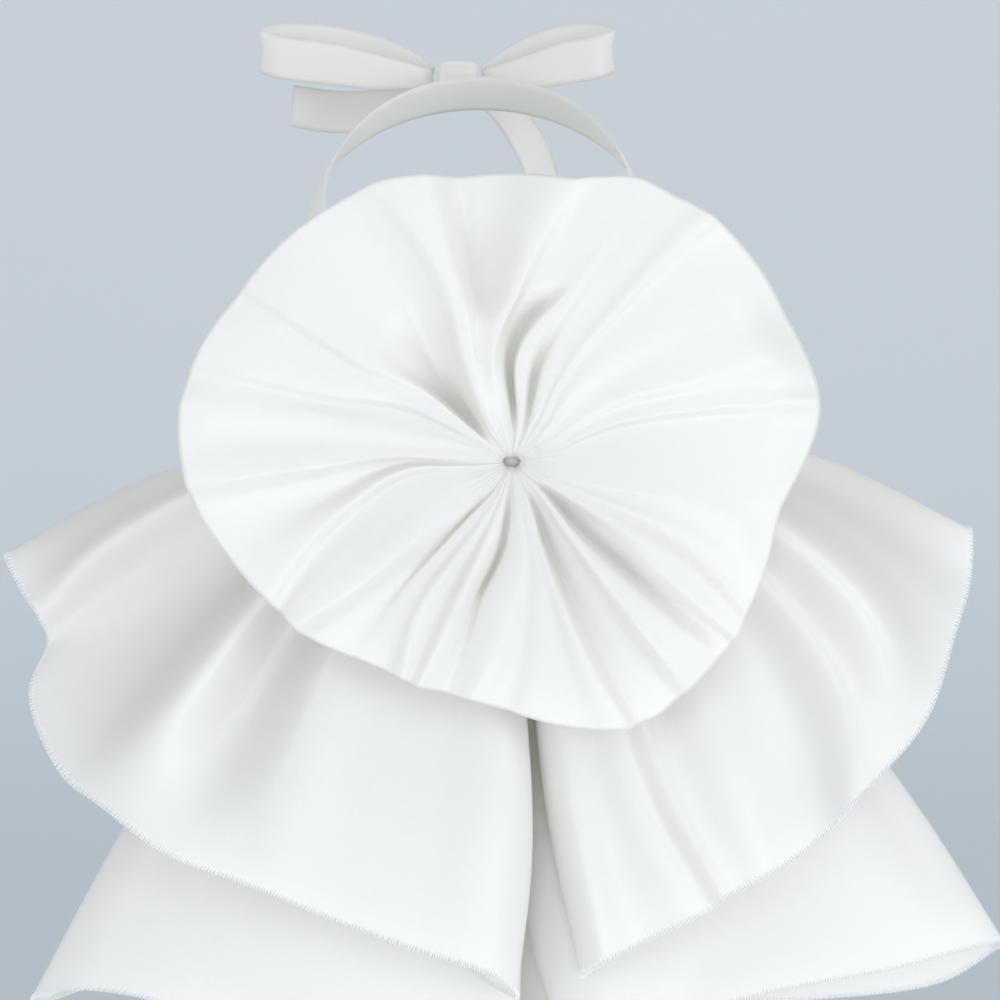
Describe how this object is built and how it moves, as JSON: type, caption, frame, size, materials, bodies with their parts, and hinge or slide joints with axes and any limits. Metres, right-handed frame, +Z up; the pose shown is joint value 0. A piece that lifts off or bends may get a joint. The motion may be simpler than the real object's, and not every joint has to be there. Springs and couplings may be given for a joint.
{
  "type": "detachable ruffle collar",
  "caption": "Detachable satin collar: a neck strap tied in a bow at the nape, a gathered flower at the throat and two tiers of flared flounces hanging below it.",
  "frame": {"origin": "middle of the neck strap's loop at the height of its sides, where the neck goes through", "axes": "+Z up along the wearer's neck, +X to the viewer's right as the collar is seen from the front, +Y toward the wearer's back"},
  "size_m": [0.379, 0.2308, 0.387],
  "materials": {
    "satin": "white polyester satin with a fine twill face, soft sheen",
    "ribbon": "white satin ribbon, smoother and a little glossier"
  },
  "bodies": {
    "root": {"neck_strap": "ribbon", "flower": "satin", "flower_stem": "satin", "upper_left_flounce": "satin", "upper_right_flounce": "satin", "lower_left_flounce": "satin", "lower_right_flounce": "satin", "bow_knot": "ribbon", "bow_loop_left": "ribbon", "bow_loop_right": "ribbon", "bow_tail_left": "ribbon", "bow_tail_right": "ribbon"}
  },
  "joints": []
}
